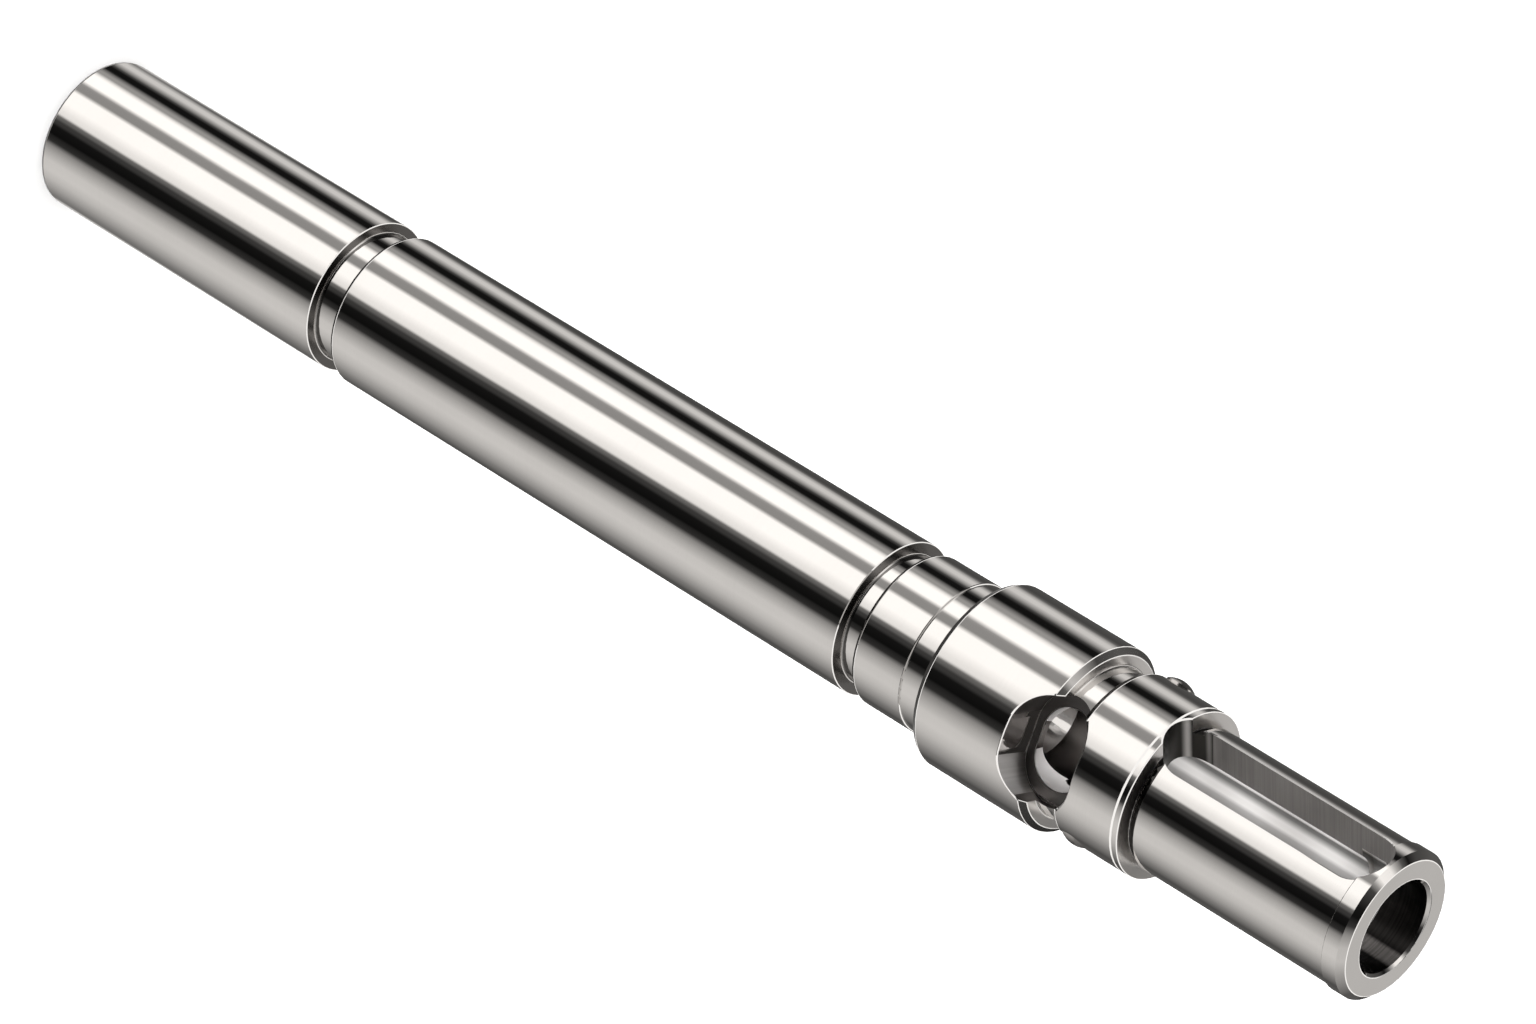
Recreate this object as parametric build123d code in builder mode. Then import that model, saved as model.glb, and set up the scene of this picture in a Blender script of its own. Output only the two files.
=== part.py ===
"""Stepped shaft: a ground steel shaft turned from one bar, hollow at one end.

The axis is +Z.  The origin is the centre of the solid end face, which is the end it stands on.
The hollow end is at the top.  The long slot faces +X, and the cross window lies 59 degrees round
from it, towards +Y.  All sizes are in millimetres.
"""

import os
from math import cos, hypot, radians, sin, tan

from build123d import *

# Diameters, from the solid end to the hollow end
TAIL_DIA = 40.0
JOURNAL_DIA = 40.0
SEAT_DIA = 39.2
COLLAR_DIA = 47.6
SHOULDER_DIA = 42.8
SLEEVE_DIA = 36.7
END_RING_DIA = 37.6

# Lengths along the axis, in the same order
TAIL_LENGTH = 96.0
TAIL_GROOVE_WIDTH = 8.0
JOURNAL_LENGTH = 167.6
SEAL_GROOVE_WIDTH = 5.6
SEAT_LENGTH = 15.2
SEAT_RELIEF_WIDTH = 7.6
COLLAR_LENGTH = 34.0
COLLAR_NECK_WIDTH = 6.6
SHOULDER_LENGTH = 20.0
UNDERCUT_WIDTH = 2.0
SLEEVE_LENGTH = 55.8
END_RING_LENGTH = 5.8

# Depths of the grooves and necks below the smaller of their neighbours
TAIL_GROOVE_DEPTH = 2.8
SEAL_GROOVE_DEPTH = 2.8
SEAT_RELIEF_DEPTH = 0.5
COLLAR_NECK_DEPTH = 2.0
UNDERCUT_DEPTH = 1.35

# Edge breaks, each (along the radius, along the axis), where a minus fills a root instead
NO_BREAK = (0.0, 0.0)
FINE_BREAK = (0.25, 0.25)
SEAT_BREAK = (0.5, 0.5)
LEAD_IN = (0.4, 0.8)
LONG_LEAD_IN = (0.6, 1.2)
UNDERCUT_ROOT = (-0.4, 0.4)
COLLAR_BEVEL = (1.6, 1.3)
END_BEVEL = (1.7, 1.6)

# Radius in the roots of the two grooves and the neck
ROOT_RADIUS = 0.5

# Corners closer than this are one corner
SHORTEST_EDGE = 0.01

# Stepped bore, entered from the hollow end
MOUTH_DIA = 23.4
MOUTH_DEPTH = 16.0
MOUTH_CHAMFER = 0.7
BORE_DIA = 20.0
BORE_PAST_WINDOW = 4.0
DRILL_POINT_ANGLE = 118.0

# Slot through the sleeve wall
SLOT_WIDTH = 15.3
SLOT_INTO_SHOULDER = 1.9
SLOT_END_WALL = 2.3

# Cross window at the neck between the collar and the shoulder, longer round the shaft than along it:
# a pocket, and from its floor a smaller opening into the bore
WINDOW_ANGLE = 58.7
WINDOW_PAST_COLLAR = 1.4
POCKET_WIDTH = 19.4
POCKET_LENGTH = 27.2
POCKET_FLOOR_FROM_AXIS = 12.0
OPENING_WIDTH = 15.0
OPENING_LENGTH = 20.0

# Break round the outer edges of the slot and the window
RIM_BREAK = 0.35

# Dowels pressed into the shoulder, opposite one another, with domed outer ends
DOWEL_ANGLE = -61.0
DOWEL_DIA = 7.8
DOWEL_FROM_SHOULDER_START = 4.3
DOWEL_DEPTH = 8.0
DOWEL_DOME = 1.4
UPPER_DOWEL_PROUD = 1.6
LOWER_DOWEL_PROUD = 0.7


def direction(angle):
    """Unit vector across the axis, at an angle round from the slot."""
    return Vector(cos(radians(angle)), sin(radians(angle)), 0)


def across(angle, height):
    """Plane through the axis at a height, facing outwards at an angle, with its x along the axis."""
    return Plane(origin=(0, 0, height), x_dir=(0, 0, 1), z_dir=direction(angle))


def rim_edges(solid, plane, size, diameters):
    """Edges where a round-ended opening meets turned surfaces; its size is along the plane's x and y."""
    end_radius = min(size) / 2
    rim = []
    for edge in solid.edges():
        middle = edge.position_at(0.5)
        place = plane.to_local_coords(middle)
        past_x = max(abs(place.X) - (size[0] / 2 - end_radius), 0)
        past_y = max(abs(place.Y) - (size[1] / 2 - end_radius), 0)
        on_wall = place.Z > 0 and abs(hypot(past_x, past_y) - end_radius) < SHORTEST_EDGE
        radius = hypot(middle.X, middle.Y)
        if on_wall and any(abs(radius - diameter / 2) < SHORTEST_EDGE for diameter in diameters):
            rim.append(edge)
    return rim


def below(depth, *neighbours):
    """Diameter of a groove or a neck cut to a depth below the smaller of its neighbours."""
    return min(neighbours) - 2 * depth


collar_face_dia = COLLAR_DIA - 2 * COLLAR_BEVEL[0]

# Each step: diameter, length, break at its lower edge, break at its upper edge
STEPS = [
    (TAIL_DIA, TAIL_LENGTH, SEAT_BREAK, FINE_BREAK),
    (below(TAIL_GROOVE_DEPTH, TAIL_DIA, JOURNAL_DIA), TAIL_GROOVE_WIDTH, NO_BREAK, NO_BREAK),
    (JOURNAL_DIA, JOURNAL_LENGTH, LEAD_IN, FINE_BREAK),
    (below(SEAL_GROOVE_DEPTH, JOURNAL_DIA, SEAT_DIA), SEAL_GROOVE_WIDTH, NO_BREAK, NO_BREAK),
    (SEAT_DIA, SEAT_LENGTH, LEAD_IN, SEAT_BREAK),
    (below(SEAT_RELIEF_DEPTH, SEAT_DIA, COLLAR_DIA), SEAT_RELIEF_WIDTH, NO_BREAK, NO_BREAK),
    (COLLAR_DIA, COLLAR_LENGTH, LONG_LEAD_IN, COLLAR_BEVEL),
    (below(COLLAR_NECK_DEPTH, collar_face_dia, SHOULDER_DIA), COLLAR_NECK_WIDTH, NO_BREAK, NO_BREAK),
    (SHOULDER_DIA, SHOULDER_LENGTH, LONG_LEAD_IN, FINE_BREAK),
    (below(UNDERCUT_DEPTH, SHOULDER_DIA, SLEEVE_DIA), UNDERCUT_WIDTH, UNDERCUT_ROOT, NO_BREAK),
    (SLEEVE_DIA, SLEEVE_LENGTH, FINE_BREAK, NO_BREAK),
    (END_RING_DIA, END_RING_LENGTH, FINE_BREAK, END_BEVEL),
]
TAIL_STEP = 0
JOURNAL_STEP = 2
COLLAR_STEP = 6
SHOULDER_STEP = 8


def height_of(step):
    """Height at which a step begins."""
    return sum(length for _, length, _, _ in STEPS[:step])


def half_profile():
    """Outline of half the section, as (radius, height) points from the axis round to the axis."""
    points = [(0, 0)]
    base = 0
    for diameter, length, lower, upper in STEPS:
        radius = diameter / 2
        top = base + length
        corners = [
            (radius - lower[0], base),
            (radius, base + lower[1]),
            (radius, top - upper[1]),
            (radius - upper[0], top),
        ]
        for corner in corners:
            if (Vector(*corner) - Vector(*points[-1])).length > SHORTEST_EDGE:
                points.append(corner)
        base = top
    points.append((0, base))
    return points


def root_corners(sketch):
    """Corners of the section where a shoulder's upper face meets the groove or neck above it."""
    roots = [
        (STEPS[step + 1][0] / 2, height_of(step + 1))
        for step in (TAIL_STEP, JOURNAL_STEP, COLLAR_STEP)
    ]
    return [
        vertex
        for vertex in sketch.vertices()
        if any(hypot(vertex.X - radius, vertex.Y - height) < SHORTEST_EDGE for radius, height in roots)
    ]


shaft_length = height_of(len(STEPS))
collar_top = height_of(COLLAR_STEP + 1)
shoulder_base = height_of(SHOULDER_STEP)
shoulder_top = height_of(SHOULDER_STEP + 1)

window_height = collar_top + WINDOW_PAST_COLLAR
bore_bottom = window_height - POCKET_WIDTH / 2 - BORE_PAST_WINDOW
drill_point = BORE_DIA / 2 / tan(radians(DRILL_POINT_ANGLE / 2))

slot_bottom = shoulder_top - SLOT_INTO_SHOULDER
slot_top = shaft_length - SLOT_END_WALL
slot_length = slot_top - slot_bottom
slot_middle = (slot_top + slot_bottom) / 2

dowel_height = shoulder_base + DOWEL_FROM_SHOULDER_START
dowel_seat = SHOULDER_DIA / 2 - DOWEL_DEPTH

# The shaft, one solid
with BuildPart() as shaft:
    with BuildSketch(Plane.XZ) as turned_section:
        with BuildLine():
            Polyline(*half_profile(), close=True)
        make_face()
        fillet(root_corners(turned_section), ROOT_RADIUS)
    revolve(axis=Axis.Z)

    # Stepped bore, with its drilled point at the bottom
    with BuildSketch(Plane.XZ) as bore_section:
        with BuildLine():
            Polyline(
                (0, bore_bottom - drill_point),
                (BORE_DIA / 2, bore_bottom),
                (BORE_DIA / 2, shaft_length - MOUTH_DEPTH),
                (MOUTH_DIA / 2, shaft_length - MOUTH_DEPTH),
                (MOUTH_DIA / 2, shaft_length - MOUTH_CHAMFER),
                (MOUTH_DIA / 2 + MOUTH_CHAMFER, shaft_length),
                (0, shaft_length),
                close=True,
            )
        make_face()
    revolve(axis=Axis.Z, mode=Mode.SUBTRACT)

    # Round-ended slot from the bore out through the sleeve
    slot_plane = across(0, slot_middle)
    with BuildSketch(slot_plane):
        SlotOverall(slot_length, SLOT_WIDTH)
    extrude(amount=COLLAR_DIA, mode=Mode.SUBTRACT)
    chamfer(
        rim_edges(shaft, slot_plane, (slot_length, SLOT_WIDTH), (SLEEVE_DIA, SHOULDER_DIA)), RIM_BREAK
    )

    # Cross window: its pocket, and the opening from the pocket's floor into the bore
    window_plane = across(WINDOW_ANGLE, window_height)
    with BuildSketch(window_plane.offset(POCKET_FLOOR_FROM_AXIS)):
        SlotOverall(POCKET_LENGTH, POCKET_WIDTH, rotation=90)
    extrude(amount=COLLAR_DIA, mode=Mode.SUBTRACT)
    with BuildSketch(window_plane):
        SlotOverall(OPENING_LENGTH, OPENING_WIDTH, rotation=90)
    extrude(amount=COLLAR_DIA, mode=Mode.SUBTRACT)
    chamfer(
        rim_edges(shaft, window_plane, (POCKET_WIDTH, POCKET_LENGTH), (COLLAR_DIA, SHOULDER_DIA)), RIM_BREAK
    )

    # Blind holes for the dowels
    for angle in (DOWEL_ANGLE, DOWEL_ANGLE + 180):
        with BuildSketch(across(angle, dowel_height).offset(dowel_seat)):
            Circle(DOWEL_DIA / 2)
        extrude(amount=COLLAR_DIA, mode=Mode.SUBTRACT)

os.makedirs("parts", exist_ok=True)
shaft.part.label = "shaft"
export_step(shaft.part, "parts/shaft.step")


def domed_dowel(angle, proud):
    """Dowel from the seat of its hole to the top of its dome, a height above the shoulder."""
    seat = across(angle, dowel_height).offset(dowel_seat)
    radius = DOWEL_DIA / 2
    top = DOWEL_DEPTH + proud
    dome_radius = (radius**2 + DOWEL_DOME**2) / (2 * DOWEL_DOME)
    with BuildPart() as dowel:
        with BuildSketch(Plane(origin=seat.origin, x_dir=(0, 0, 1), z_dir=direction(angle + 90))):
            with BuildLine():
                Polyline((0, top), (0, 0), (radius, 0), (radius, top - DOWEL_DOME))
                RadiusArc((radius, top - DOWEL_DOME), (0, top), -dome_radius)
            make_face()
        revolve(axis=Axis(seat.origin, direction(angle)))
    return dowel.part


with BuildPart() as upper_dowel:
    add(domed_dowel(DOWEL_ANGLE, UPPER_DOWEL_PROUD))
upper_dowel.part.label = "upper_dowel"
export_step(upper_dowel.part, "parts/upper_dowel.step")

with BuildPart() as lower_dowel:
    add(domed_dowel(DOWEL_ANGLE + 180, LOWER_DOWEL_PROUD))
lower_dowel.part.label = "lower_dowel"
export_step(lower_dowel.part, "parts/lower_dowel.step")
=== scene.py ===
"""Stepped shaft: steel finishes, a pale studio, and the camera.

Lengths are in metres and angles in degrees.
"""

from math import cos, pi, radians, sin
from types import SimpleNamespace

import bpy
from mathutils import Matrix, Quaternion, Vector


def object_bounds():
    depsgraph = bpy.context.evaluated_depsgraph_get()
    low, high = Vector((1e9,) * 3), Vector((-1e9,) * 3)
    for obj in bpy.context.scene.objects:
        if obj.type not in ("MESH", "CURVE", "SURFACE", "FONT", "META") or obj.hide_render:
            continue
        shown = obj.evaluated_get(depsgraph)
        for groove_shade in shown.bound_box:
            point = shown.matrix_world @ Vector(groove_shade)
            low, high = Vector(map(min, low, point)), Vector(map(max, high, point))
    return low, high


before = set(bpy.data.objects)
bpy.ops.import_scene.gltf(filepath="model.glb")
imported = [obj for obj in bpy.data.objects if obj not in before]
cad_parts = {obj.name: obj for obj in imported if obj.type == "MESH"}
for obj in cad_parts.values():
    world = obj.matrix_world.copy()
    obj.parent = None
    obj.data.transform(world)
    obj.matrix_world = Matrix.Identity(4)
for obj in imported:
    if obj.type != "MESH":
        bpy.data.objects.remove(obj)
cad_box = [list(groove_shade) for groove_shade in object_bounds()]


def bearing(azimuth, elevation=0):
    """Direction of length 1 from its turn about the axis and its height."""
    azimuth, elevation = radians(azimuth), radians(elevation)
    return (cos(azimuth) * cos(elevation), sin(azimuth) * cos(elevation), sin(elevation))


def grey(level):
    """Colour of one brightness."""
    return (level, level, level, 1)


# Camera: its direction from the shaft, its turn about its own line of sight, and what it looks at
VIEW_AZIMUTH = 36.4
TO_CAMERA = bearing(VIEW_AZIMUTH, 32.1)
VIEW_ROLL = 121.4
VIEW_DISTANCE = 1.755
VIEW_AIM = Vector((0.0037, -0.0052, 0.2274))
LENS = 174.7
SENSOR_WIDTH = 36

# Studio panels as (turn, brightness), one row for each kind of face. A panel's turn is that of the face
# that mirrors it to the camera: 0 faces the camera, -90 is the upper outline and 90 the lower one.
CYLINDER = [
    (-90, 0.09), (-80, 0.075), (-72, 0.065), (-68.5, 0.12), (-65, 0.45), (-62.5, 0.66), (-59, 0.66),
    (-56, 0.4), (-52.5, 0.07), (-50, 0.008), (-45.5, 0.007), (-43, 0.2), (-41, 0.35), (-38.8, 0.34),
    (-36.3, 1.0), (-34.5, 1.25), (-26.8, 1.25), (-24, 0.36), (-22.5, 0.305), (-18, 0.295), (-15.5, 1.2),
    (-6, 1.2),
    (0, 0.95), (2.6, 0.9), (4.3, 0.16), (6.2, 0.12), (7.4, 0.045), (9.4, 0.042), (11.3, 0.008), (17, 0.005),
    (18.3, 0.017), (22, 0.03), (25.3, 0.28), (30, 0.46), (36, 0.645), (43, 0.67), (50, 0.57), (57, 0.4),
    (65, 0.22), (75, 0.08), (90, 0.1),
]
INNER_CORNER = [
    (-90, 0.1), (-60, 0.06), (-50, 0.012), (-44, 0.2), (-38, 0.8), (-28, 1.0), (-22, 0.35), (-16, 0.07),
    (-6, 0.02), (0, 0.015), (14, 0.006), (22, 0.05), (30, 0.18), (42, 0.32), (60, 0.25), (90, 0.1),
]
END_BEVEL = [
    (-90, 0.1), (-65, 0.06), (-55, 0.006), (-48, 0.1), (-41, 0.5), (-36, 0.98), (-26, 1.05), (-20, 0.35),
    (-15, 0.06), (0, 0.01), (8, 0.006), (16, 0.04), (23, 0.3), (34, 0.57), (46, 0.6), (60, 0.38), (90, 0.1),
]
COLLAR_BEVEL = [
    (-90, 0.07), (-65, 0.1), (-46, 0.06), (-38, 0.25), (-30, 0.5), (-24, 0.6), (-18, 0.1), (0, 0.012),
    (10, 0.004), (28, 0.006), (40, 0.02), (56, 0.055), (90, 0.03),
]
EDGE_WHITE = 1.0
DISH_DARK_SIDE = 0.05
FLAT = 0.52
UNDER_EDGE = 0.5
# Tilts of the mirroring face over which each row takes over from the one before it
TO_INNER_CORNER = (13, 17)
TO_END_BEVEL = (46, 47)
TO_COLLAR_BEVEL = (51.7, 52.7)
TO_EDGE_WHITE = (56.5, 57.5)
TO_DISHED = (66, 70)
TO_FLAT = (84.2, 85.2)
TO_UNDER_EDGE = (-11, -18)
# How far across the dished faces turn from their dark side to their light side
DISH_SPLIT = (-0.06, 0.0)
BACKGROUND = 1.0
WARMTH = (1.02, 1.0, 0.975)

FLOOR_REACH = 6.0
FLOOR_COLOUR = grey(0.93)
SUN_ENERGY = 4
SUN_ANGLE = 40
# Lamps in the bore: height, and power in watts
BORE_LAMPS = [(0.335, 0.02), (0.373, 0.0017), (0.398, 0.0017)]
LAMP_RADIUS = 0.004

# Cross window: its bearing, its middle, the distance of its pocket's floor from the axis, and half the
# straight run and the end radius of the pocket and of the smaller opening in that floor
WINDOW_AZIMUTH = 58.7
WINDOW_HEIGHT = 0.3354
POCKET_FLOOR = 0.012
WINDOW_OUTLINES = [(0.0039, 0.0097), (0.0025, 0.0075)]
# Above this height what is inside belongs to the slot, and below it to the window
WINDOW_TOP = 0.346
# Painted light: a lit fan low on one side of the pocket's wall
FAN_SIDE = (0.003, 0.006)
FAN_TOP = -0.004
# The wall of the smaller opening starts this far below the pocket's floor
OPENING_STEP = 0.0002

SLOT_START = 0.3587
SLOT_END_RADIUS = 0.00765
# Painted reflection on the bore's wall seen through the slot, in bands by its place from the slot's wall in
# view (-0.6) across to the lower rim (0.5)
SLOT_FLOOR_PAINTED_REFLECTION = [
    (-0.6, 1.0), (-0.38, 1.0), (-0.26, 0.12), (-0.1, 0.22), (0.04, 0.6), (0.14, 1.0), (0.32, 1.0),
    (0.42, 0.5), (0.52, 0.36),
]
# Painted shade: the same wall is dimmer beside the window's lamp: heights, and its share of light at the
# lower one
SLOT_FLOOR_PAINTED_SHADE = (0.347, 0.36)
SLOT_FLOOR_PAINTED_SHADE_SHARE = 0.4
# Two soft painted highlights down the slot's end wall: how far each lies towards the end, half width, and
# strength
END_PAINTED_HIGHLIGHTS = [(0.85, 0.1, 0.9), (0.36, 0.13, 0.25)]

MOUTH_START = 0.4125
# Painted highlight along the mouth's bore: the bearing it faces, and where it fades in
MOUTH_HIGHLIGHT_BEARING = bearing(184)
MOUTH_HIGHLIGHT_EDGE = (0.975, 0.995)

# Turned faces: the step faces that are dished, the floors of the grooves, and how their normals lean
COLLAR_FACE = 0.334
SHOULDER_FACE = 0.3606
DISH = 0.12
GROOVE_RADIUS = 0.0175
GROOVES_TOP = 0.31
GROOVE_TILT = 0.14
COLLAR_BEVEL_FACE = 0.775
COLLAR_BEVEL_RISE = 0.08
# How far the shadowed lead-ins under the steps face along the axis
LEAD_IN_FACE = -0.45
# Shadowed undercut above the shoulder: its lowest and highest height, and its radius
UNDERCUT = (0.3607, 0.3625)
UNDERCUT_RADIUS = 0.0183
# Circles of the shaft as (radius, height): edges with a painted highlight, shadowed edges, and the
# centres of the rounded roots
BRIGHT_EDGES = [
    (0.01988, 0.09588), (0.02, 0.1048), (0.01988, 0.27148), (0.0196, 0.278), (0.01935, 0.29215),
    (0.0238, 0.3012), (0.0238, 0.3327), (0.0222, 0.334), (0.0214, 0.3418), (0.02128, 0.36048),
    (0.0182, 0.3627), (0.0171, 0.4242), (0.0124, 0.4242),
]
DARK_EDGES = [(0.0184, 0.4184), (0.01868, 0.41852), (0.0201, 0.1039), (0.0197, 0.2771)]
ROOTS = [(0.0177, 0.0965), (0.0173, 0.2721), (0.0199, 0.3345)]
ROOT_RADIUS = 0.0005
# The rounded part of a root lies within this distance of its centre, towards the axis and the solid end,
# give or take the slack
ROOT_REACH = ROOT_RADIUS * 1.25
ROOT_SLACK = ROOT_RADIUS / 30
EDGE_REACH = 0.00014
LIP_REACH = EDGE_REACH * 1.5
RIM_RADIUS = 0.0175
RIM_REACH = 0.0002
# The normal of a bright edge rises by this, less its height, for each 1 that it points outwards
EDGE_RISE = 2

# Limits by which faces are told apart: how far a facet may lean sideways and still count as turned, and
# how far a facet points up the axis, into the bore or outwards
TURNED_LIMIT = 0.12
FACING_UP = 0.98
END_WALL_FACE = 0.25
FACING_IN = -0.9
FACING_OUT = 0.9
WALL_LIMIT = 0.3
RIM_FACE = 0.35
UNDERCUT_FACE = 0.02
FACING_WINDOW = 0.99
# How close a value must be to its target to count as a match
HEIGHT_MATCH = 0.0003
DEPTH_MATCH = 0.0001
BEVEL_MATCH = 0.02
LEAD_IN_MATCH = 0.07

# Steel colours, among them painted shade and painted highlights as marked. Where there are two, the finish
# wanders between them.
GROUND = ((0.82, 0.8, 0.78, 1), (0.88, 0.86, 0.84, 1))
GRINDING = (0.6, 0.58, 0.57, 1)
GRINDING_SHARE = 0.12
# Painted shade on the up-facing step faces in the grooves
GROOVE_STEP_SHADE = (0.17, 0.163, 0.158, 1)
# Cutter marks inside, at a dark level that is painted shade in the recesses
MILLED_MARKS_AND_SHADE = ((0.2, 0.19, 0.185, 1), (0.36, 0.345, 0.335, 1))
# Painted shade on the window's pocket
POCKET_PAINTED_SHADE = (0.3, 0.285, 0.28, 1)
# Painted light on one side of the pocket's wall
FAN_PAINTED_LIGHT = ((0.35, 0.34, 0.33, 1), (0.6, 0.58, 0.57, 1))
OPENING = (0.6, 0.58, 0.57, 1)
# Tint of the painted reflection on the bore's wall in the slot
SLOT_FLOOR_REFLECTION_TINT = (1.0, 0.98, 0.965)
# Painted shade on the slot's end wall, and the painted highlights down it
END_WALL_PAINTED_SHADE = (0.045, 0.043, 0.04, 1)
END_WALL_PAINTED_HIGHLIGHT = (0.9, 0.88, 0.86, 1)
# Painted shade deep in the mouth, and the painted highlight along it
MOUTH_PAINTED_SHADE = ((0.004, 0.004, 0.004, 1), (0.03, 0.028, 0.027, 1))
MOUTH_PAINTED_HIGHLIGHT = ((0.05, 0.047, 0.045, 1), (0.35, 0.33, 0.32, 1))
SHADOWED = (0.06, 0.057, 0.055, 1)
# Painted highlight on the bright edges
EDGE_HIGHLIGHT = (0.92, 0.91, 0.9, 1)
DOWEL = ((0.48, 0.46, 0.45, 1), (0.62, 0.6, 0.58, 1))
# How much of its metal look each finish inside gives up to dull light
DULLNESS = {"PaintedFloorReflection": 0.7, "PaintedStreak": 0.5, "PaintedFan": 0.3}
MILLED_DULLNESS = 0.25
GROUND_ROUGHNESS = 0.03
MOTTLE_ROUGHNESS = 0.05
STEP_ROUGHNESS = 0.2
INSIDE_ROUGHNESS = 0.3
DOWEL_ROUGHNESS = 0.18
MOTTLE_SCALE = 60.0
GRAIN_SCALE = 900.0
# Stretch of the grinding, of the cutter marks and of the slight swell, along each axis
GRINDING_STRETCH = (30, 30, 4000)
MARKS_STRETCH = (25, 25, 2200)
SWELL_STRETCH = (70, 70, 30)
SWELL_HEIGHT = 0.00006


class Graph:
    """Short ways to add and join the nodes of one shader tree."""

    def __init__(self, tree):
        self.tree = tree

    def add(self, kind, inputs=None, **settings):
        """New node, with its settings and its inputs fed by sockets or plain values."""
        node = self.tree.nodes.new(kind)
        for name, value in settings.items():
            setattr(node, name, value)
        for name, value in (inputs or {}).items():
            self.feed(node.inputs[name], value)
        return node

    def feed(self, socket, value):
        """Link a socket, or set it to a plain value."""
        if isinstance(value, bpy.types.NodeSocket):
            self.tree.links.new(value, socket)
        else:
            socket.default_value = value

    def math(self, operation, *values, clamp=False):
        """Result of a sum on numbers."""
        inputs = dict(enumerate(values))
        return self.add("ShaderNodeMath", inputs, operation=operation, use_clamp=clamp).outputs[0]

    def chain(self, operation, first, *others):
        """Result of the same sum over any count of numbers."""
        for value in others:
            first = self.math(operation, first, value)
        return first

    def times(self, *values):
        """Product of numbers, or where all of some masks hold."""
        return self.chain("MULTIPLY", *values)

    def most(self, *values):
        """Largest of numbers, or where any of some masks holds."""
        return self.chain("MAXIMUM", *values)

    def plus(self, *values):
        """Total of numbers."""
        return self.chain("ADD", *values)

    def minus(self, value, less):
        """Difference of two numbers."""
        return self.math("SUBTRACT", value, less)

    def over(self, value, limit):
        """Mask of where a value is over a limit."""
        return self.math("GREATER_THAN", value, limit)

    def under(self, value, limit):
        """Mask of where a value is under a limit."""
        return self.math("LESS_THAN", value, limit)

    def near(self, value, target, within):
        """Mask of where a value is close to a target."""
        return self.math("COMPARE", value, target, within)

    def leg(self, longest, other):
        """Third side of a right-angled triangle, from its longest side and another side."""
        left = self.minus(self.math("POWER", longest, 2), self.math("POWER", other, 2))
        return self.math("SQRT", self.most(left, 0))

    def vector(self, operation, *values):
        """Result of a sum on vectors."""
        node = self.add("ShaderNodeVectorMath", operation=operation)
        for index, value in enumerate(values):
            socket = "Scale" if operation == "SCALE" and index == 1 else index
            self.feed(node.inputs[socket], value)
        return node.outputs["Value" if operation in ("DOT_PRODUCT", "LENGTH") else "Vector"]

    def parts(self, vector):
        """The three numbers of a vector."""
        return self.add("ShaderNodeSeparateXYZ", {0: vector}).outputs

    def joined(self, x, y, z):
        """Vector of three numbers."""
        return self.add("ShaderNodeCombineXYZ", {0: x, 1: y, 2: z}).outputs[0]

    def rise(self, value, low, high):
        """Smooth rise from 0 at low to 1 at high."""
        inputs = {"Value": value, "From Min": low, "From Max": high}
        return self.add("ShaderNodeMapRange", inputs, interpolation_type="SMOOTHSTEP").outputs[0]

    def blend(self, share, first, second, kind="RGBA"):
        """First where share is 0, second where it is 1."""
        node = self.add("ShaderNodeMix", data_type=kind)
        kinds = {"RGBA": "NodeSocketColor", "VECTOR": "NodeSocketVector", "FLOAT": "NodeSocketFloat"}
        ends = [s for s in node.inputs if s.name in ("A", "B") and s.bl_idname.startswith(kinds[kind])]
        self.feed(node.inputs[0], share)
        self.feed(ends[0], first)
        self.feed(ends[1], second)
        return next(s for s in node.outputs if s.bl_idname.startswith(kinds[kind]))

    def ramp(self, value, stops):
        """Grey scale of a value, through stops of (place from 0 to 1, brightness)."""
        node = self.add("ShaderNodeValToRGB", {0: value})
        elements = node.color_ramp.elements
        while len(elements) < len(stops):
            elements.new(0.5)
        for element, (place, brightness) in zip(elements, stops):
            element.position = place
            element.color = grey(brightness)
        return node.outputs["Color"]

    def noise(self, at, scale=1.0, detail=2.0):
        """Soft random pattern."""
        return self.add("ShaderNodeTexNoise", {"Vector": at, "Scale": scale, "Detail": detail}).outputs[0]

    def stretched_noise(self, place, stretch, detail=2.0):
        """Soft random pattern, drawn out by a factor along each axis."""
        return self.noise(self.vector("MULTIPLY", place, stretch), detail=detail)


def make_camera():
    """Long lens, turned so that the shaft crosses the frame from corner to corner."""
    back = Vector(TO_CAMERA)
    camera = bpy.data.objects.new("camera", bpy.data.cameras.new("camera"))
    camera.data.lens = LENS
    camera.data.sensor_width = SENSOR_WIDTH
    camera.location = VIEW_AIM + back * VIEW_DISTANCE
    camera.rotation_mode = "QUATERNION"
    camera.rotation_quaternion = back.to_track_quat("Z", "Y") @ Quaternion((0, 0, 1), radians(VIEW_ROLL))
    bpy.context.scene.collection.objects.link(camera)
    bpy.context.scene.camera = camera


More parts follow.
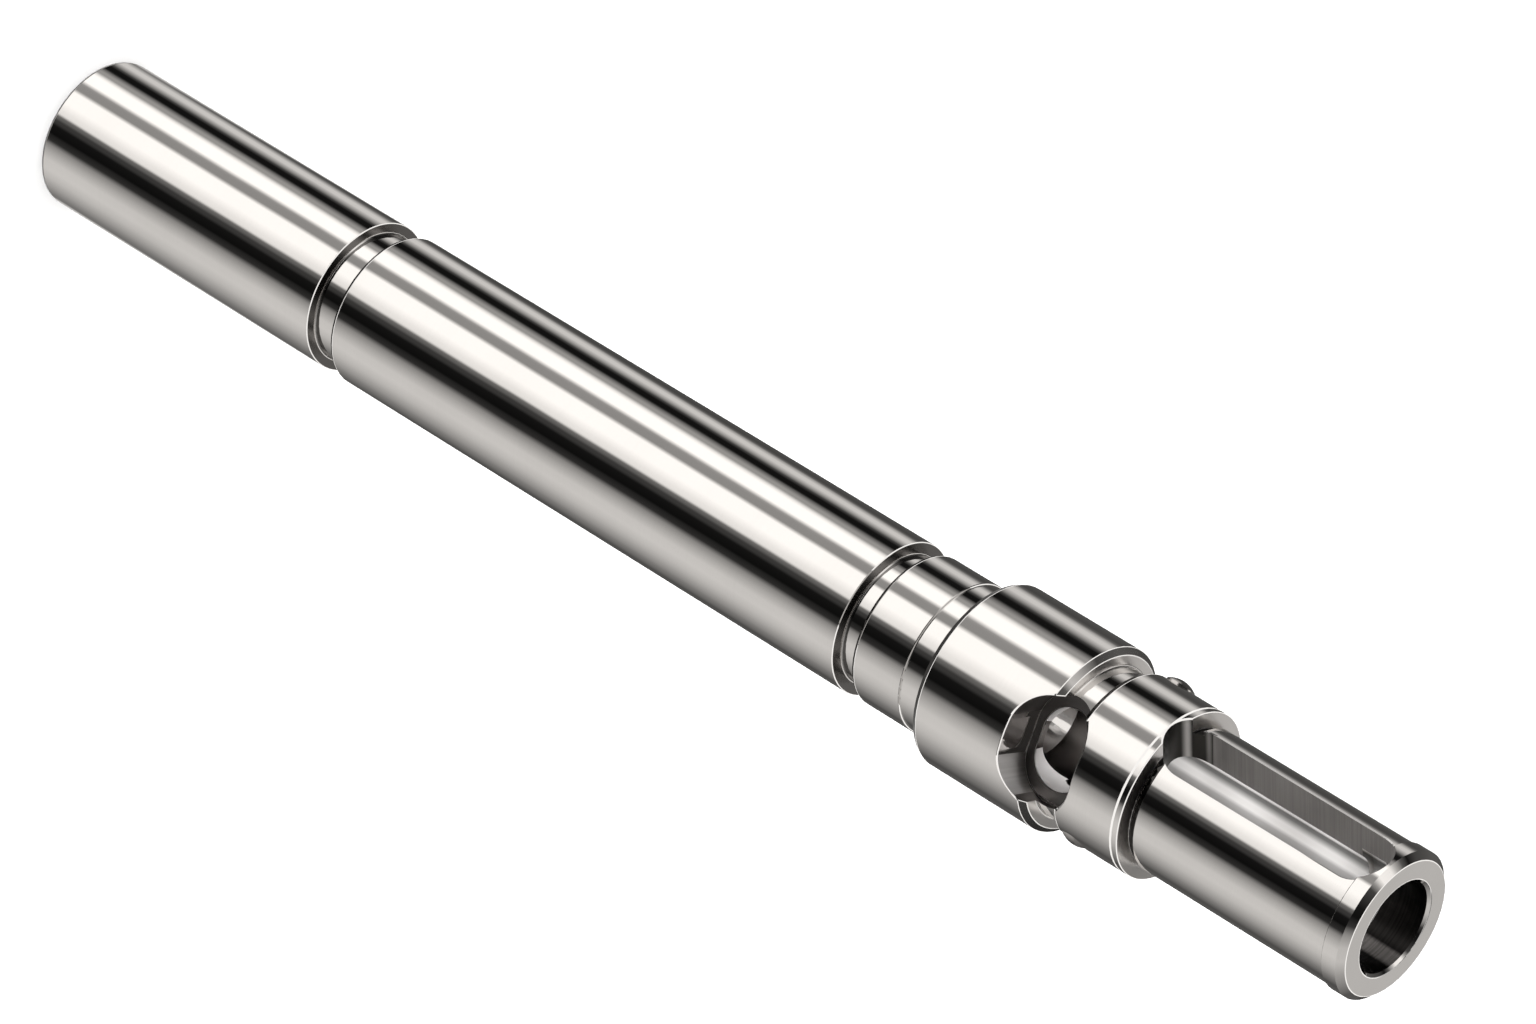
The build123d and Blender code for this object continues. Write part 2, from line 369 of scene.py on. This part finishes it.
def make_world():
    """Studio laid out by the face that mirrors each direction to the camera: its turn and its tilt."""
    world = bpy.data.worlds.new("studio")
    bpy.context.scene.world = world
    world.use_nodes = True
    world.node_tree.nodes.clear()
    graph = Graph(world.node_tree)
    direction = graph.add("ShaderNodeTexCoord").outputs["Generated"]
    mirror = graph.vector("NORMALIZE", graph.vector("ADD", direction, TO_CAMERA))
    turned = graph.add("ShaderNodeVectorRotate", {"Vector": mirror}, rotation_type="Z_AXIS")
    turned.inputs["Angle"].default_value = -radians(VIEW_AZIMUTH)
    front, across, up = graph.parts(turned.outputs[0])
    turn = graph.math("DIVIDE", graph.math("ARCTAN2", across, front), pi)
    share = graph.math("ADD", turn, 0.5, clamp=True)
    tilt = graph.math("DEGREES", graph.math("ARCSINE", up))

    def panels(stops):
        """Row of panels, as two ramps, because one ramp holds 32 stops at most."""
        upper = [((place + 90) / 180, brightness) for place, brightness in stops if place <= 0]
        lower = [((place + 90) / 180, brightness) for place, brightness in stops if place >= 0]
        return graph.blend(graph.over(share, 0.5), graph.ramp(share, upper), graph.ramp(share, lower))

    dished = graph.blend(graph.rise(across, *DISH_SPLIT), grey(DISH_DARK_SIDE), grey(FLAT))
    rows = [
        (TO_INNER_CORNER, panels(INNER_CORNER)),
        (TO_END_BEVEL, panels(END_BEVEL)),
        (TO_COLLAR_BEVEL, panels(COLLAR_BEVEL)),
        (TO_EDGE_WHITE, grey(EDGE_WHITE)),
        (TO_DISHED, dished),
        (TO_FLAT, grey(FLAT)),
        (TO_UNDER_EDGE, grey(UNDER_EDGE)),
    ]
    light = panels(CYLINDER)
    for tilts, row in rows:
        light = graph.blend(graph.rise(tilt, *tilts), light, row)
    light = graph.vector("MULTIPLY", light, WARMTH)
    camera_ray = graph.add("ShaderNodeLightPath").outputs["Is Camera Ray"]
    seen = graph.blend(camera_ray, light, grey(BACKGROUND))
    background = graph.add("ShaderNodeBackground", {"Color": seen})
    out = graph.add("ShaderNodeOutputWorld")
    graph.feed(out.inputs[0], background.outputs[0])


def make_floor():
    """Plain pale floor under the shaft, lit from straight above, which the steel doesn't mirror."""
    floor_mesh = bpy.data.meshes.new("floor")
    corners = [(x * FLOOR_REACH, y * FLOOR_REACH, 0) for x, y in ((-1, -1), (1, -1), (1, 1), (-1, 1))]
    floor_mesh.from_pydata(corners, [], [(0, 1, 2, 3)])
    floor = bpy.data.objects.new("floor", floor_mesh)
    bpy.context.scene.collection.objects.link(floor)
    floor.location.z = cad_box[0][2]
    floor.visible_glossy = False
    material = bpy.data.materials.new("pale_floor")
    material.use_nodes = True
    shader = material.node_tree.nodes["Principled BSDF"]
    shader.inputs["Base Color"].default_value = FLOOR_COLOUR
    shader.inputs["Roughness"].default_value = 1
    shader.inputs["Specular IOR Level"].default_value = 0
    floor_mesh.materials.append(material)
    overhead = bpy.data.objects.new("overhead", bpy.data.lights.new("overhead", "SUN"))
    overhead.data.energy = SUN_ENERGY
    overhead.data.angle = radians(SUN_ANGLE)
    overhead.visible_glossy = False
    bpy.context.scene.collection.objects.link(overhead)


def make_bore_lamps():
    """Small lamps on the axis, which stand for the light that falls into the slot and the window."""
    for number, (height, power) in enumerate(BORE_LAMPS, 1):
        name = f"bore_lamp_{number}"
        lamp = bpy.data.objects.new(name, bpy.data.lights.new(name, "POINT"))
        lamp.data.energy = power
        lamp.data.shadow_soft_size = LAMP_RADIUS
        lamp.visible_camera = False
        lamp.visible_glossy = False
        lamp.location.z = height
        bpy.context.scene.collection.objects.link(lamp)


def read_face(graph):
    """Where a point of the shaft lies, which way its facet points, and whether it is turned."""
    face = SimpleNamespace()
    geometry = graph.add("ShaderNodeNewGeometry").outputs
    facet = geometry["True Normal"]
    face.mesh_normal = geometry["Normal"]
    face.place = graph.add("ShaderNodeTexCoord").outputs["Object"]
    _, face.across, face.height = graph.parts(face.place)
    flat = graph.vector("MULTIPLY", face.place, (1, 1, 0))
    face.radius = graph.vector("LENGTH", flat)
    face.outward = graph.vector("NORMALIZE", flat)
    face.section = graph.joined(face.radius, face.height, 0)
    face.along_radius = graph.vector("DOT_PRODUCT", facet, face.outward)
    face.along_axis = graph.parts(facet)[2]
    face.level = graph.leg(1, face.along_axis)
    sideways = graph.leg(face.level, face.along_radius)

    window = bearing(WINDOW_AZIMUTH)
    face.depth = graph.vector("DOT_PRODUCT", face.place, window)
    face.beside = graph.vector("DOT_PRODUCT", face.place, (-window[1], window[0], 0))
    face.above = graph.minus(face.height, WINDOW_HEIGHT)
    faces_window = graph.over(graph.vector("DOT_PRODUCT", facet, window), FACING_WINDOW)
    face.pocket_floor = graph.times(graph.near(face.depth, POCKET_FLOOR, DEPTH_MATCH), faces_window)

    # Only the height is tested for the slot's end, so a thin band round the shoulder is taken in too
    slot_end = graph.near(face.height, SLOT_START, HEIGHT_MATCH)
    face.turned = graph.under(graph.plus(sideways, graph.plus(face.pocket_floor, slot_end)), TURNED_LIMIT)
    face.facing_up = graph.over(face.along_axis, FACING_UP)
    return face


def nearest(graph, face, circles):
    """Distance to the nearest of some circles round the axis."""
    distance = 1.0
    for circle in circles:
        gap = graph.vector("LENGTH", graph.vector("SUBTRACT", face.section, (*circle, 0)))
        distance = graph.math("MINIMUM", distance, gap)
    return distance


def turned_slope(graph, face, dished):
    """How far the normal of a turned face points outwards and upwards. Rounded roots join the turned."""
    groove = graph.times(graph.over(face.along_radius, FACING_OUT), graph.under(face.radius, GROOVE_RADIUS))
    bevel = graph.near(face.along_axis, COLLAR_BEVEL_FACE, BEVEL_MATCH)
    rise = graph.plus(face.along_axis, graph.times(groove, GROOVE_TILT))
    rise = graph.plus(rise, graph.times(bevel, COLLAR_BEVEL_RISE))
    reach = graph.times(graph.math("SIGN", face.along_radius), face.level)
    reach = graph.minus(reach, graph.times(dished, DISH))
    for root in ROOTS:
        inward = graph.vector("SUBTRACT", (*root, 0), face.section)
        sideward, upward, _ = graph.parts(inward)
        close = graph.under(graph.vector("LENGTH", inward), ROOT_REACH)
        quarter = graph.over(graph.math("MINIMUM", sideward, upward), -ROOT_SLACK)
        rounded = graph.times(close, quarter)
        face.turned = graph.most(face.turned, rounded)
        reach = graph.blend(rounded, reach, graph.math("DIVIDE", sideward, ROOT_RADIUS), "FLOAT")
        rise = graph.blend(rounded, rise, graph.math("DIVIDE", upward, ROOT_RADIUS), "FLOAT")
    return reach, rise


def highlighted_edges(graph, face):
    """Mask of the edges with a painted highlight: circles, rims of slot and window, and the pocket floor's
    lines.
    """
    circles = graph.under(nearest(graph, face, BRIGHT_EDGES), EDGE_REACH)
    outwards = graph.over(face.along_radius, RIM_FACE)
    away = graph.times(graph.minus(1, face.turned), outwards)
    rim = graph.times(away, graph.over(face.radius, RIM_RADIUS))
    gaps = []
    for straight, end_radius in WINDOW_OUTLINES:
        past = graph.most(graph.minus(graph.math("ABSOLUTE", face.beside), straight), 0)
        gaps.append(graph.minus(graph.vector("LENGTH", graph.joined(past, face.above, 0)), end_radius))
    outline = 1.0
    for gap in gaps:
        outline = graph.math("MINIMUM", outline, graph.math("ABSOLUTE", gap))
    window_rim = graph.times(graph.over(face.depth, RIM_RADIUS), graph.under(gaps[0], RIM_REACH), outwards)
    lip = graph.times(face.pocket_floor, graph.under(outline, LIP_REACH))
    return graph.most(graph.times(circles, face.turned), graph.most(graph.most(rim, window_rim), lip))


def smooth_normal(graph, face, slope, bright):
    """Normal worked out from the slope. Bright edges have one that meets the white row of panels."""
    reach = graph.blend(bright, slope[0], 1.0, "FLOAT")
    rise = graph.blend(bright, slope[1], graph.minus(EDGE_RISE, face.height), "FLOAT")
    smooth = graph.vector("ADD", graph.vector("SCALE", face.outward, reach), graph.joined(0, 0, rise))
    smooth = graph.vector("NORMALIZE", smooth)
    return graph.blend(graph.most(face.turned, bright), face.mesh_normal, smooth, "VECTOR")


def inside_masks(graph, face):
    """Masks of what lies in the bore, the window and the slot."""
    bore = graph.under(face.along_radius, FACING_IN)
    wall = graph.times(graph.minus(1, face.turned), graph.under(face.along_radius, WALL_LIMIT))
    wall = graph.times(wall, graph.minus(1, bore))
    mouth = graph.times(bore, graph.over(face.height, MOUTH_START))
    inside = graph.most(wall, bore, face.pocket_floor)

    in_window = graph.times(inside, graph.under(face.height, WINDOW_TOP))
    opening = graph.times(wall, in_window, graph.under(face.depth, POCKET_FLOOR - OPENING_STEP))
    # Where the painted light falls on the pocket's wall
    painted_fan = graph.times(graph.rise(face.beside, *FAN_SIDE), graph.under(face.above, FAN_TOP))
    painted_fan = graph.times(painted_fan, graph.times(in_window, graph.minus(wall, opening)))

    in_slot = graph.over(face.height, WINDOW_TOP)
    end_wall = graph.times(wall, graph.over(face.along_axis, END_WALL_FACE), in_slot)
    endward = graph.math("DIVIDE", graph.minus(SLOT_START + SLOT_END_RADIUS, face.height), SLOT_END_RADIUS)
    # Painted highlights: soft stripes down the end wall
    painted_glint = 0.0
    for middle, half_width, strength in END_PAINTED_HIGHLIGHTS:
        off = graph.math("ABSOLUTE", graph.minus(endward, middle))
        soft = graph.minus(1, graph.rise(off, 0.0, half_width))
        painted_glint = graph.most(painted_glint, graph.times(soft, strength))
    painted_glint = graph.times(painted_glint, graph.times(end_wall, graph.under(face.across, 0)))

    # Painted highlight along the bore's mouth
    painted_streak = graph.rise(graph.vector("DOT_PRODUCT", face.outward, MOUTH_HIGHLIGHT_BEARING), *MOUTH_HIGHLIGHT_EDGE)
    return {
        "Inside": inside,
        "Mouth": mouth,
        "Window": in_window,
        "Opening": opening,
        "PaintedFan": painted_fan,
        "PaintedFloorReflection": graph.minus(graph.times(bore, in_slot), mouth),
        "End": end_wall,
        "PaintedGlint": painted_glint,
        "PaintedStreak": graph.times(mouth, painted_streak),
    }


def shadowed_edges(graph, face, bright):
    """Mask of the dark lines: shadowed circles, lead-ins under the steps, and the undercut."""
    circles = graph.under(nearest(graph, face, DARK_EDGES), EDGE_REACH)
    lead_in = graph.times(graph.near(face.along_axis, LEAD_IN_FACE, LEAD_IN_MATCH), face.turned)
    lead_in = graph.times(lead_in, graph.minus(1, bright))
    low, high = UNDERCUT
    undercut = graph.times(graph.over(face.height, low), graph.under(face.height, high))
    undercut = graph.times(undercut, graph.over(face.along_radius, UNDERCUT_FACE))
    undercut = graph.times(undercut, graph.under(face.radius, UNDERCUT_RADIUS))
    return graph.most(graph.most(circles, lead_in), undercut)


def turned_surface_group():
    """Normals of turned and flat faces without facets, and masks of the kinds of face on the shaft."""
    group = bpy.data.node_groups.new("turned_surface", "ShaderNodeTree")
    graph = Graph(group)
    face = read_face(graph)
    step_faces = [graph.near(face.height, height, HEIGHT_MATCH) for height in (COLLAR_FACE, SHOULDER_FACE)]
    dished = graph.times(face.facing_up, graph.most(*step_faces))
    slope = turned_slope(graph, face, dished)
    bright = highlighted_edges(graph, face)
    # Painted shade: the up-facing faces in the grooves are darker
    groove_shade = graph.times(face.facing_up, graph.under(face.height, GROOVES_TOP))
    results = {
        "Normal": smooth_normal(graph, face, slope, bright),
        **inside_masks(graph, face),
        "GrooveShade": graph.times(groove_shade, graph.minus(1, bright)),
        "Step": dished,
        "Bright": bright,
        "Dark": shadowed_edges(graph, face, bright),
    }
    for name in results:
        kind = "NodeSocketVector" if name == "Normal" else "NodeSocketFloat"
        group.interface.new_socket(name, in_out="OUTPUT", socket_type=kind)
    out = graph.add("NodeGroupOutput")
    for name, result in results.items():
        graph.feed(out.inputs[name], result)
    return group


def inside_colour(graph, place, masks):
    """Colour of the bore, the window and the slot: cutter marks, with painted shade, painted highlights and
    a painted reflection.
    """
    marks = graph.stretched_noise(place, MARKS_STRETCH)
    # Cutter marks, at a dark level that is painted shade inside
    colour = graph.blend(marks, *MILLED_MARKS_AND_SHADE)
    # Painted shade on the pocket
    colour = graph.blend(graph.minus(masks["Window"], masks["Opening"]), colour, POCKET_PAINTED_SHADE)
    # Painted light on one side of the pocket's wall
    colour = graph.blend(masks["PaintedFan"], colour, graph.blend(marks, *FAN_PAINTED_LIGHT))
    colour = graph.blend(masks["Opening"], colour, OPENING)

    # Painted reflection on the bore's wall in the slot: bands of light and dark across it
    outward = graph.vector("NORMALIZE", graph.vector("MULTIPLY", place, (1, 1, 0)))
    across_floor = graph.vector("DOT_PRODUCT", outward, (-1, 0, 0))
    share = graph.plus(graph.math("DIVIDE", across_floor, 2), 0.5)
    floor_reflection = graph.ramp(share, [(at / 2 + 0.5, level) for at, level in SLOT_FLOOR_PAINTED_REFLECTION])
    # Painted shade: darker towards the slot's lower end
    up_slot = graph.rise(graph.parts(place)[2], *SLOT_FLOOR_PAINTED_SHADE)
    painted_shade_share = graph.blend(up_slot, SLOT_FLOOR_PAINTED_SHADE_SHARE, 1.0, "FLOAT")
    floor_reflection = graph.vector("SCALE", graph.vector("MULTIPLY", floor_reflection, SLOT_FLOOR_REFLECTION_TINT), painted_shade_share)
    colour = graph.blend(masks["PaintedFloorReflection"], colour, floor_reflection)
    # Painted shade on the end wall, with painted highlights down it
    colour = graph.blend(masks["End"], colour, graph.blend(masks["PaintedGlint"], END_WALL_PAINTED_SHADE, END_WALL_PAINTED_HIGHLIGHT))

    # Painted shade deep in the bore's mouth, with a painted highlight along it
    mouth = graph.blend(marks, *MOUTH_PAINTED_SHADE)
    mouth = graph.blend(masks["PaintedStreak"], mouth, graph.blend(marks, *MOUTH_PAINTED_HIGHLIGHT))
    return graph.blend(masks["Mouth"], colour, mouth)


def metal_look(graph, masks):
    """How metallic each place is: all of it outside, less where the inside scatters light."""
    milled = graph.minus(masks["Inside"], graph.most(masks["Mouth"], masks["Window"]))
    milled = graph.minus(graph.plus(milled, masks["Opening"]), masks["End"])
    dull = graph.times(milled, MILLED_DULLNESS)
    for name, share in DULLNESS.items():
        dull = graph.plus(dull, graph.times(masks[name], share))
    return graph.minus(1, dull)


def ground_steel_material(surface):
    """Bright ground steel; dull step faces; painted shade in the grooves; painted highlights on the edges;
    cutter marks, painted shade and painted highlights in the bore and openings.
    """
    material = bpy.data.materials.new("ground_steel")
    material.use_nodes = True
    graph = Graph(material.node_tree)
    shader = material.node_tree.nodes["Principled BSDF"]
    masks = graph.add("ShaderNodeGroup", node_tree=surface).outputs
    place = graph.add("ShaderNodeTexCoord").outputs["Object"]

    mottle = graph.noise(place, MOTTLE_SCALE, 3.0)
    grinding = graph.stretched_noise(place, GRINDING_STRETCH)
    colour = graph.blend(mottle, *GROUND)
    colour = graph.blend(graph.times(grinding, GRINDING_SHARE), colour, GRINDING)
    # Painted shade on the groove steps
    colour = graph.blend(masks["GrooveShade"], colour, GROOVE_STEP_SHADE)
    colour = graph.blend(masks["Inside"], colour, inside_colour(graph, place, masks))
    colour = graph.blend(masks["Dark"], colour, SHADOWED)
    # Painted highlight on the bright edges
    colour = graph.blend(masks["Bright"], colour, EDGE_HIGHLIGHT)
    graph.feed(shader.inputs["Base Color"], colour)
    graph.feed(shader.inputs["Metallic"], metal_look(graph, masks))

    roughness = graph.plus(GROUND_ROUGHNESS, graph.times(mottle, MOTTLE_ROUGHNESS))
    roughness = graph.blend(masks["GrooveShade"], roughness, STEP_ROUGHNESS, "FLOAT")
    rough_faces = graph.most(masks["Inside"], masks["Step"])
    roughness = graph.blend(rough_faces, roughness, INSIDE_ROUGHNESS, "FLOAT")
    graph.feed(shader.inputs["Roughness"], roughness)

    swell = graph.stretched_noise(place, SWELL_STRETCH, 1.0)
    bump = graph.add("ShaderNodeBump", {"Height": swell, "Normal": masks["Normal"]})
    bump.inputs["Strength"].default_value = 1
    bump.inputs["Distance"].default_value = SWELL_HEIGHT
    graph.feed(shader.inputs["Normal"], bump.outputs[0])
    return material


def dowel_steel_material():
    """Hardened steel of the dowels, a little darker than the shaft."""
    material = bpy.data.materials.new("dowel_steel")
    material.use_nodes = True
    graph = Graph(material.node_tree)
    shader = material.node_tree.nodes["Principled BSDF"]
    shader.inputs["Metallic"].default_value = 1
    shader.inputs["Roughness"].default_value = DOWEL_ROUGHNESS
    grain = graph.noise(graph.add("ShaderNodeTexCoord").outputs["Object"], GRAIN_SCALE)
    graph.feed(shader.inputs["Base Color"], graph.blend(grain, *DOWEL))
    return material


bpy.context.scene.view_settings.view_transform = "Standard"
make_camera()
make_world()
make_floor()
make_bore_lamps()
ground_steel = ground_steel_material(turned_surface_group())
dowel_steel = dowel_steel_material()
for name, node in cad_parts.items():
    finish = ground_steel if name == "shaft" else dowel_steel
    for slot in node.material_slots:
        slot.material = finish
